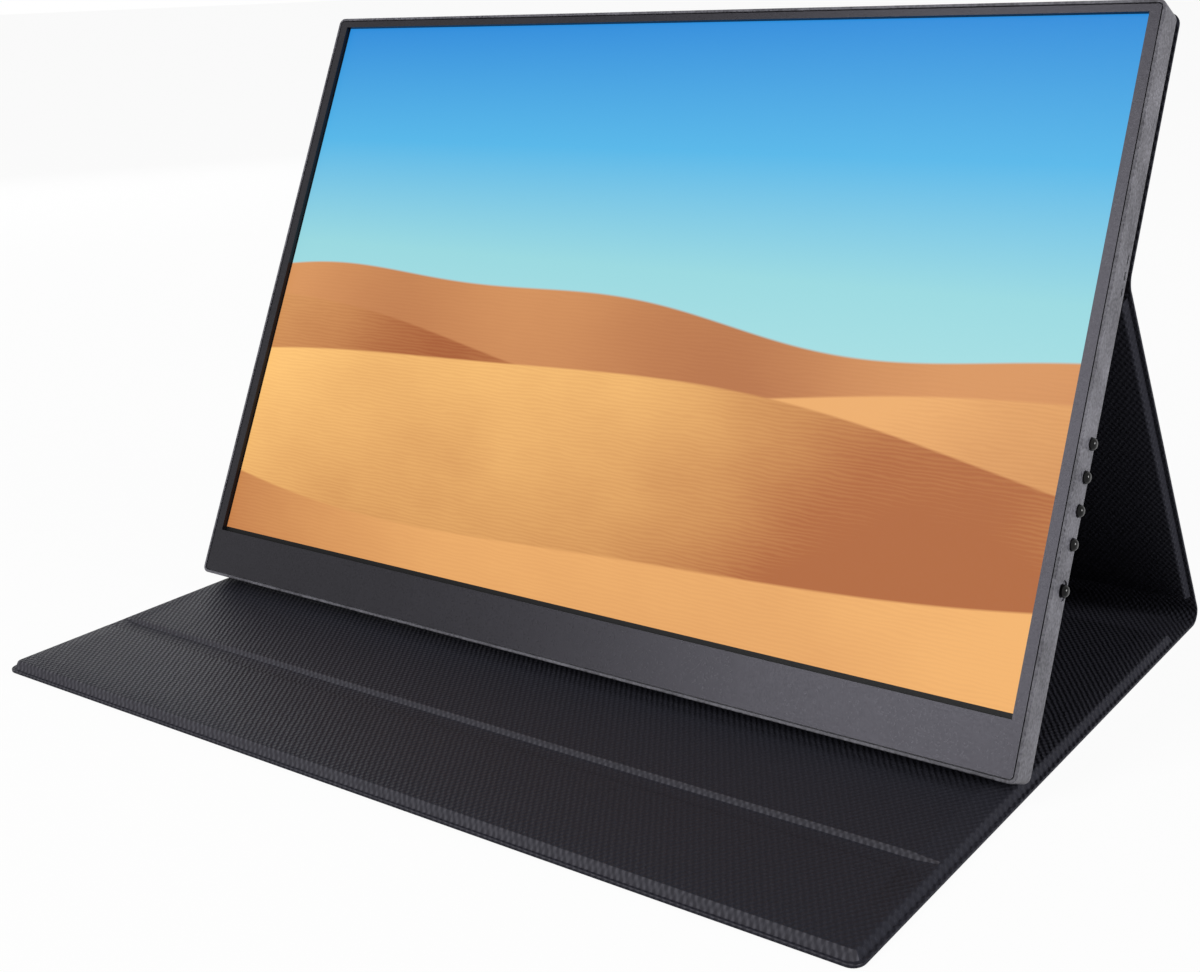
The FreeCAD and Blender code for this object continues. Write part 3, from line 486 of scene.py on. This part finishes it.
def ribbon_cable(name):
    """Polyimide ribbon: amber film over flat copper strips."""
    tree, shader = new_finish(name)
    inputs = {"Vector": object_point(tree), "Scale": band_scale(1.0 * MM)}
    strips = add(tree, "ShaderNodeTexWave", inputs, bands_direction="Z").outputs[1]
    feed(shader, {"Base Color": blend_colour(tree, strips, "#8A5A1E", "#C48B3C"), "Roughness": 0.3,
                  "IOR": 1.7})
    raise_surface(tree, shader, strips, 0.03 * MM)


def open_foam(name):
    """Polyurethane foam: matt, with open cells."""
    tree, shader = new_finish(name)
    inputs = {"Vector": object_point(tree), "Scale": grain_scale(0.7 * MM)}
    cells = add(tree, "ShaderNodeTexVoronoi", inputs).outputs[0]
    feed(shader, {"Base Color": blend_colour(tree, cells, "#18181A", "#38383B"), "Roughness": 0.95})
    raise_surface(tree, shader, cells, 0.3 * MM)


# Hills of the picture, from far to near: place of the crest, two swells as size, count and start,
# colours in the light and in the shade
HILLS = (
    (0.50, (0.030, 5.0, 0.4), (0.012, 13.0, 1.0), "#D6935A", "#B57142"),
    (0.43, (0.055, 3.6, 2.6), (0.016, 9.0, 0.2), "#EAAB68", "#A55A2C"),
    (0.32, (0.075, 3.0, 0.3), (0.012, 8.0, 2.0), "#FDC474", "#AE6432"),
    (0.16, (0.085, 2.6, 3.6), (0.014, 7.0, 4.0), "#F0B169", "#C07A44"),
)
SKY = ((0.0, "#A6DDE0"), (0.28, "#96D6DE"), (0.62, "#50B4E6"), (1.0, "#228AD9"))
SKY_FOOT = 0.4
# How a hill's lean and the depth below its crest shade it, and how far its crest blurs
SHADE_BY_LEAN, SHADE_BY_DEPTH, CREST_BLUR = -2.2, 1.2, 0.004


def picture_colour(tree, across, up):
    """A plain landscape of rolling hills under a clear sky, from coordinates that run from 0 to 1."""
    sky = add(tree, "ShaderNodeValToRGB", {0: spread(tree, up, SKY_FOOT, 1.0)})
    ramp = sky.color_ramp
    while len(ramp.elements) < len(SKY):
        ramp.elements.new(0.5)
    for stop, (place, colour) in zip(ramp.elements, SKY):
        stop.position = place
        stop.color = hex_colour(colour)
    colour = sky.outputs[0]
    flat = add(tree, "ShaderNodeCombineXYZ", {0: across, 1: up}).outputs[0]
    ripple_map = add(tree, "ShaderNodeMapping", {"Vector": flat, "Scale": (1, 2.5, 1)}).outputs[0]
    inputs = {"Vector": ripple_map, "Scale": 20.0, "Distortion": 7.0, "Detail": 3.0}
    ripples = add(tree, "ShaderNodeTexWave", inputs, bands_direction="Y").outputs[1]
    soft = add(tree, "ShaderNodeTexNoise", {"Vector": flat, "Scale": 7.0, "Detail": 3.0}).outputs[0]
    for place, swell, chop, light, shade in HILLS:
        crest, leaning = place, 0.0
        for size, count, start in (swell, chop):
            phase = sum_of(tree, "ADD", sum_of(tree, "MULTIPLY", across, count), start)
            wave = add(tree, "ShaderNodeMath", {0: phase}, operation="SINE").outputs[0]
            crest = sum_of(tree, "ADD", sum_of(tree, "MULTIPLY", wave, size), crest)
            slope = add(tree, "ShaderNodeMath", {0: phase}, operation="COSINE").outputs[0]
            leaning = sum_of(tree, "ADD", sum_of(tree, "MULTIPLY", slope, size * count), leaning)
        below = sum_of(tree, "SUBTRACT", crest, up)
        turned = weigh(tree, (leaning, SHADE_BY_LEAN), (below, SHADE_BY_DEPTH))
        ruffled = sum_of(tree, "ADD", turned, uneven(tree, soft, 0.0, 0.07))
        grained = sum_of(tree, "ADD", ruffled, spread(tree, ripples, 0, 1, -0.05, 0.05))
        ground = blend_colour(tree, spread(tree, grained, -0.35, 0.75), light, shade)
        colour = blend_colour(tree, spread(tree, below, 0.0, CREST_BLUR), colour, ground)
    return colour


def display_glass(name, values):
    """Display glass with an etched anti-glare face: the picture glows through it inside a black border."""
    tree, shader = new_finish(name)
    low = CASE[0].y + values.chin
    upright = add(tree, "ShaderNodeMapping", {"Vector": object_point(tree), "Rotation": (-SCREEN_TURN, 0, 0),
                                              "Location": (values.width / 2, -low, 0)}).outputs[0]
    inputs = {"Vector": upright, "Scale": (1 / values.width, 1 / values.height, 1)}
    place = add(tree, "ShaderNodeSeparateXYZ", {0: add(tree, "ShaderNodeMapping", inputs).outputs[0]})
    across, up = place.outputs[0], place.outputs[1]
    inside = 1.0
    for value in (across, up):
        for test, edge in (("GREATER_THAN", 0.0), ("LESS_THAN", 1.0)):
            inside = sum_of(tree, "MULTIPLY", inside, sum_of(tree, test, value, edge))
    etched = noise_at(tree, upright, 0.3 * MM)
    lit = blend_colour(tree, inside, "#000000", picture_colour(tree, across, up))
    feed(shader, {"Base Color": hex_colour("#060607"), "Roughness": uneven(tree, etched, 0.45, 0.05),
                  "Emission Color": lit, "Emission Strength": 1.0, "IOR": 1.5, "Specular IOR Level": 0.1})


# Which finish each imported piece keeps, and the finishes' names
FINISH_OF = {
    "satin_abs": ("front_bezel",),
    "shell_abs": ("rear_shell",),
    "display_glass": ("lcd_glass",),
    "gloss_abs": ("control_button_1", "control_button_2", "control_button_3", "control_button_4",
                  "power_button"),
    "grey_board": ("base_stiffener", "leg_stiffener", "upper_stiffener", "flap_stiffener"),
    "nickel_plate": ("shell_magnets", "flap_magnets", "usb_c_ports", "mini_video_port"),
    "black_polyester": ("panel_tape", "cover_adhesive"),
    "white_polyester": ("diffuser_films", "reflector_sheet"),
    "acrylic": ("light_guide",),
    "rolled_aluminium": ("panel_back_plate",),
    "laminate": ("led_strip", "panel_driver_board", "main_board", "button_board"),
    "polyimide": ("display_cable", "button_cable"),
    "epoxy_resin": ("video_chips", "tact_switches"),
    "zinc_steel": ("board_screws",),
    "black_abs": ("audio_jack", "speaker_left", "speaker_right"),
    "pvc_sleeve": ("speaker_leads",),
    "pu_foam": ("foam_pads",),
}


class MONITOR_OT_finishes(Operator):
    """Make every finish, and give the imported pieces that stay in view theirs"""
    bl_idname = "monitor.finishes"
    bl_label = "Finishes"

    def execute(self, context):
        case = context.scene.monitor_case
        cloth = context.scene.monitor_cloth
        moulded_plastic("satin_abs", case.bezel, "#111013", 0.7 * MM, 0.02 * MM, 0.3, 0.04, specular=0.21,
                        tint="#F2EFFF")
        moulded_plastic("shell_abs", case.shell, "#35343A", 1.0 * MM, 0.06 * MM, 0.45, specular=0.15)
        moulded_plastic("gloss_abs", case.button, "#050506", 1.5 * MM, 0.002 * MM, 0.1, 0.03, 0.18)
        moulded_plastic("black_abs", "#1B1B1D", "#131315", 0.4 * MM, 0.02 * MM, 0.5)
        moulded_plastic("epoxy_resin", "#222225", "#18181A", 0.3 * MM, 0.02 * MM, 0.6)
        coated_cloth("embossed_lining", cloth, cloth.ridge, cloth.valley, 0.42 * MM, 0.42)
        # A lighter copy of the lining for the slopes that face the front: painted light
        coated_cloth("stretched_lining", cloth, cloth.stretched, cloth.painted_lit_slope_valley, 0.15 * MM, 0.45)
        coated_cloth("embossed_skin", cloth, cloth.skin_ridge, cloth.skin_valley, 0.16 * MM, 0.5)
        display_glass("display_glass", context.scene.monitor_picture)
        fibre_board("grey_board")
        plated_metal("nickel_plate", "#C9C7C2", "#A9A7A3", 0.3)
        plated_metal("rolled_aluminium", "#C4C5C8", "#A4A5A9", 0.38, 0.5 * MM)
        plated_metal("zinc_steel", "#B7B8BA", "#8F9092", 0.4)
        soft_film("black_polyester", "#161617", "#0D0D0E", 0.45, 1 * MM)
        soft_film("white_polyester", "#F1F1EF", "#E4E4E2", 0.5, 1 * MM)
        soft_film("pvc_sleeve", "#1C1C1D", "#121213", 0.5, 0.6 * MM)
        clear_sheet("acrylic")
        circuit_laminate("laminate")
        ribbon_cable("polyimide")
        open_foam("pu_foam")
        for finish, names in FINISH_OF.items():
            for name in names:
                NODES[name].data.materials.clear()
                NODES[name].data.materials.append(bpy.data.materials[finish])
        return {"FINISHED"}


# Pieces of the cover

def is_crease(edge, least=PLAIN):
    """True for an edge between two faces that meet at an angle."""
    return len(edge.link_faces) == 2 and edge.calc_face_angle() > least


def middle_of(edge):
    """The middle of an edge."""
    return (edge.verts[0].co + edge.verts[1].co) / 2


def soften_rim(sizes, bottom, top, free):
    """Round the rim's edges where the test calls them free, and the top and foot of the lining's slope."""
    rim_top, shoulder = bottom + sizes.rim, top - sizes.crown
    pick("edges", lambda edge: ends_at(edge, 2, bottom) and is_crease(edge, SHARP) and free(middle_of(edge)))
    bevel(sizes.soft_edge, 3)
    pick("edges", lambda edge: ends_at(edge, 2, rim_top) and is_crease(edge) and free(middle_of(edge)))
    bevel(sizes.soft_edge / 2, 2)
    pick("edges", lambda edge: is_crease(edge) and (ends_at(edge, 2, top) or ends_at(edge, 2, shoulder)))
    bevel(sizes.soft_slope, 4)


def raise_lining(sizes, low, high):
    """Raise the top face over the board: a flat rim round it, a short slope up and a gentle crown."""
    shoulder = high.z - sizes.crown
    pick("faces", lambda face: face.normal.z > SQUARE_ON)
    bpy.ops.mesh.inset(thickness=sizes.rim_width, depth=0)
    bpy.ops.mesh.inset(thickness=sizes.slope_run, depth=shoulder - low.z - sizes.rim)
    reach = sizes.rim_width + sizes.slope_run + sizes.crown_run
    slice_at(0, low.x + reach, high.x - reach)
    slice_at(1, low.y + reach, high.y - reach)
    pick("verts", lambda point: abs(point.co.z - shoulder) < NEAR and abs(point.co.x) < high.x - reach + NEAR
         and low.y + reach - NEAR < point.co.y < high.y - reach + NEAR)
    lift(sizes.crown)


def round_ends(along, radius):
    """Round the upright edges at one end."""
    pick("edges", lambda edge: ends_at(edge, 1, along)
         and abs(edge.verts[0].co.z - edge.verts[1].co.z) > NEAR)
    bevel(radius, CORNER_STEPS)


def model_panel(name, box, sizes, turn, corner=0.0):
    """A panel modelled flat: a rim all round, and the lining raised over the board inside it."""
    low, high = box
    panel = start_block(name, low, (high.x, high.y, low.z + sizes.rim))
    if corner:
        round_ends(high.y, corner)
    raise_lining(sizes, low, high)
    soften_rim(sizes, low.z, high.z, lambda middle: abs(middle.x) > high.x - corner - NEAR
               or (corner and middle.y > low.y + corner))
    map_cloth(panel)
    finish_mesh(panel, turn)
    dress(panel)
    return panel


def soften_sides(sizes, half):
    """Round the side edges of a bent strip, but not those at its ends."""
    pick("edges", lambda edge: is_crease(edge, SHARP) and abs(edge.calc_length() - sizes.rim) > NEAR
         and (ends_at(edge, 0, half) or ends_at(edge, 0, -half)))
    bevel(sizes.soft_edge, 2)


class MONITOR_OT_base_cover(Operator):
    """Model the base panel, the front fold and the flap as one piece of coated cloth"""
    bl_idname = "monitor.base_cover"
    bl_label = "Base and flap"

    def execute(self, context):
        sizes = context.scene.monitor_cover
        low, high = FLAP[0], BASE[1]
        front, back = FRONT_STRIP[0].y, FRONT_STRIP[1].y
        floor = FRONT_STRIP[1].z
        run = sizes.valley_slope
        cover = start_block("base_cover", low, (high.x, high.y, low.z + sizes.rim))
        round_ends(low.y, sizes.corner)
        raise_lining(sizes, low, high)
        slice_at(1, front, front + run, back - run, back)
        pick("verts", lambda point: point.co.z > high.z - NEAR and front + NEAR < point.co.y < back - NEAR)
        lift(floor - high.z)
        soften_rim(sizes, low.z, high.z, lambda middle: middle.y < high.y - NEAR)
        pick("edges", lambda edge: ends_at(edge, 2, floor) and is_crease(edge, SLIGHT))
        bevel(sizes.soft_slope / 2, 2)
        map_cloth(cover)
        finish_mesh(cover)
        dress(cover)
        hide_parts("base_skin", "base_lining", "flap_skin", "flap_lining", "front_fold_strip")
        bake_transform(cover)
        return {"FINISHED"}


class MONITOR_OT_rear_fold(Operator):
    """Bend the soft cloth of the rear fold up from the table to the leg"""
    bl_idname = "monitor.rear_fold"
    bl_label = "Rear fold"

    def execute(self, context):
        sizes = context.scene.monitor_cover
        low, high = REAR_STRIP
        # The outer face touches the table, the rearmost line and the leg's outer face
        radius = (LEG[0].z + high.y * sin(LEG_TURN)) / (sin(LEG_TURN) + cos(LEG_TURN) - 1)
        centre = Vector((0, high.y - radius, low.z + radius))
        heading = Vector((0, cos(LEG_TURN), sin(LEG_TURN)))
        cloth = start_block("rear_fold_cloth", low, (high.x, centre.y, low.z + sizes.rim))
        pick("faces", lambda face: face.normal.y > SQUARE_ON)
        spin(centre, LEG_TURN, REAR_STEPS)
        run = heading * (LEG[0].y - centre.dot(heading))
        bpy.ops.mesh.extrude_region_move(TRANSFORM_OT_translate={"value": run})
        soften_sides(sizes, high.x)

        def turn_at(point):
            return min(max(atan2(point.y - centre.y, centre.z - point.z), 0.0), LEG_TURN)

        def along(point):
            turn = turn_at(point)
            if turn == 0:
                return point.y
            past = max((point - centre).dot(heading), 0.0) if turn == LEG_TURN else 0.0
            return centre.y + turn * (radius - sizes.rim / 2) + past

        map_cloth(cloth, along, turn_at)
        finish_mesh(cloth)
        dress(cloth)
        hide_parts("rear_fold_strip")
        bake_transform(cloth)
        return {"FINISHED"}


class MONITOR_OT_leg_panel(Operator):
    """Model the stiff panel that holds the monitor up from behind"""
    bl_idname = "monitor.leg_panel"
    bl_label = "Leg panel"

    def execute(self, context):
        panel = model_panel("leg_cover", LEG, context.scene.monitor_cover, LEG_TURN)
        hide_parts("leg_skin", "leg_lining")
        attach(panel, "leg")
        return {"FINISHED"}


class MONITOR_OT_mid_fold(Operator):
    """Bend the soft cloth between the leg and the upper panel"""
    bl_idname = "monitor.mid_fold"
    bl_label = "Middle fold"

    def execute(self, context):
        sizes = context.scene.monitor_cover
        turn = LEG_TURN - SCREEN_TURN
        corner = Matrix.Rotation(-LEG_TURN, 3, "X") @ Vector(JOINTS["mid_fold"]["pos_m"])
        start, outer, half = LEG[1].y, LEG[0].z, LEG[1].x
        radius = (corner.y - start) / tan(turn / 2)
        centre = Vector((0, start, outer - radius))
        cloth = start_end("mid_fold_cloth", half, start, outer, outer + sizes.rim)
        bpy.ops.mesh.select_all(action="SELECT")
        spin(centre, -turn, MIDDLE_STEPS)
        soften_sides(sizes, half)

        def turn_at(point):
            return -atan2(point.y - centre.y, point.z - centre.z)

        map_cloth(cloth, lambda point: start - turn_at(point) * (radius + sizes.rim / 2), turn_at)
        finish_mesh(cloth, LEG_TURN)
        dress(cloth)
        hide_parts("mid_fold_strip")
        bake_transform(cloth)
        return {"FINISHED"}


class MONITOR_OT_upper_panel(Operator):
    """Model the stiff panel that is stuck to the back of the monitor"""
    bl_idname = "monitor.upper_panel"
    bl_label = "Upper panel"

    def execute(self, context):
        sizes = context.scene.monitor_cover
        panel = model_panel("upper_cover", UPPER, sizes, SCREEN_TURN, sizes.top_corner)
        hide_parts("upper_skin", "upper_lining")
        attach(panel, "monitor")
        return {"FINISHED"}


# Studio

LAMPS = (
    # Name, place, point that it faces, width, height and power
    ("front_lamp", (-0.60, -1.55, 1.12), (0, 0, 0.08), 0.8, 1.45, 34),
    ("side_lamp", (1.7, 0.15, 0.45), (0.15, 0, 0.1), 0.6, 0.6, 24),
    ("back_lamp", (-1.56, 0.82, 0.65), (-0.1, -0.1, 0), 0.9, 0.9, 8),
)
SENSOR_WIDTH = 36
FLOOR_SIZE, FLOOR_DROP, FLOOR_PAINT = 80, 0.2 * MM, "#E6E6E6"
# Part of the floor's look that its paint, and so a shadow, makes up
SHADOW_SHARE = 0.05


class MONITOR_OT_studio(Operator):
    """Set up the floor, the light and the camera"""
    bl_idname = "monitor.studio"
    bl_label = "Studio"

    def execute(self, context):
        values = context.scene.monitor_studio
        self.lay_floor()
        self.light_world(context, values)
        for name, place, target, width, height, power in LAMPS:
            lamp = bpy.data.lights.new(name, "AREA")
            lamp.shape = "RECTANGLE"
            lamp.size, lamp.size_y = width, height
            lamp.energy = power
            holder = bpy.data.objects.new(name, lamp)
            holder.location = place
            holder.rotation_euler = (Vector(target) - Vector(place)).to_track_quat("-Z", "Y").to_euler()
            context.scene.collection.objects.link(holder)
        lens = bpy.data.cameras.new("camera")
        lens.sensor_fit = "HORIZONTAL"
        lens.sensor_width = SENSOR_WIDTH
        lens.lens = values.lens
        lens.shift_x, lens.shift_y = values.shift
        lens.clip_start = 10 * MM
        camera = bpy.data.objects.new("camera", lens)
        camera.location = values.place
        turn = (Matrix.Rotation(values.yaw, 3, "Z") @ Matrix.Rotation(pi / 2 - values.pitch, 3, "X")
                @ Matrix.Rotation(values.roll, 3, "Z"))
        camera.rotation_euler = turn.to_euler()
        context.scene.collection.objects.link(camera)
        context.scene.camera = camera
        context.scene.view_settings.view_transform = "Standard"
        return {"FINISHED"}

    def seen_rays(self, tree):
        """One for rays from the camera, also by way of metal and glass, and otherwise none."""
        rays = add(tree, "ShaderNodeLightPath")
        seen = sum_of(tree, "MAXIMUM", rays.outputs["Is Camera Ray"], rays.outputs["Is Glossy Ray"])
        return sum_of(tree, "MAXIMUM", seen, rays.outputs["Is Transmission Ray"])

    def lay_floor(self):
        """A white floor that keeps a soft shadow."""
        bpy.ops.object.select_all(action="DESELECT")
        bpy.ops.mesh.primitive_plane_add(size=FLOOR_SIZE, location=(0, 0, -FLOOR_DROP))
        floor = bpy.context.object
        floor.name = "floor"
        finish = bpy.data.materials.new("white_floor")
        finish.use_nodes = True
        tree = finish.node_tree
        tree.nodes.clear()
        paint = add(tree, "ShaderNodeBsdfDiffuse", {"Color": hex_colour(FLOOR_PAINT)}).outputs[0]
        glow = add(tree, "ShaderNodeEmission", {"Strength": 1.0}).outputs[0]
        bright = add(tree, "ShaderNodeMixShader", {0: SHADOW_SHARE, 1: glow, 2: paint}).outputs[0]
        mixed = add(tree, "ShaderNodeMixShader", {0: self.seen_rays(tree), 1: paint, 2: bright})
        add(tree, "ShaderNodeOutputMaterial", {"Surface": mixed.outputs[0]})
        floor.data.materials.append(finish)

    def light_world(self, context, values):
        """Even light from all round, seen as white."""
        world = bpy.data.worlds.new("studio")
        world.use_nodes = True
        tree = world.node_tree
        tree.nodes.clear()
        strength = spread(tree, self.seen_rays(tree), 0.0, 1.0, values.fill, 1.0)
        sky = add(tree, "ShaderNodeBackground", {"Color": (1, 1, 1, 1), "Strength": strength})
        add(tree, "ShaderNodeOutputWorld", {"Surface": sky.outputs[0]})
        context.scene.world = world


class MONITOR_PT_sidebar(Panel):
    """Lists the pieces in the sidebar of the 3D view"""
    bl_idname = "MONITOR_PT_sidebar"
    bl_label = "Portable monitor"
    bl_space_type = "VIEW_3D"
    bl_region_type = "UI"
    bl_category = "Monitor"

    def draw(self, context):
        for step in STEPS:
            self.layout.operator(step.bl_idname)
        for name in GROUPS:
            group = getattr(context.scene, name)
            box = self.layout.box()
            for key in group.__annotations__:
                box.prop(group, key)


STEPS = (MONITOR_OT_finishes, MONITOR_OT_base_cover, MONITOR_OT_rear_fold, MONITOR_OT_leg_panel,
         MONITOR_OT_mid_fold, MONITOR_OT_upper_panel, MONITOR_OT_studio)
GROUPS = {"monitor_cover": CoverSizes, "monitor_cloth": ClothColours, "monitor_case": CaseColours,
          "monitor_picture": PictureSizes, "monitor_studio": StudioSizes}


def register():
    """Register the classes and put their values on the scene."""
    for kind in (*GROUPS.values(), *STEPS, MONITOR_PT_sidebar):
        bpy.utils.register_class(kind)
    for name, kind in GROUPS.items():
        setattr(bpy.types.Scene, name, PointerProperty(type=kind))


def unregister():
    """Take the values off the scene again, and then the classes."""
    for name in GROUPS:
        delattr(bpy.types.Scene, name)
    for kind in reversed((*GROUPS.values(), *STEPS, MONITOR_PT_sidebar)):
        bpy.utils.unregister_class(kind)


def main():
    """Run every step in order."""
    register()
    for step in STEPS:
        group, name = step.bl_idname.split(".")
        getattr(getattr(bpy.ops, group), name)()


if __name__ == "__main__":
    main()
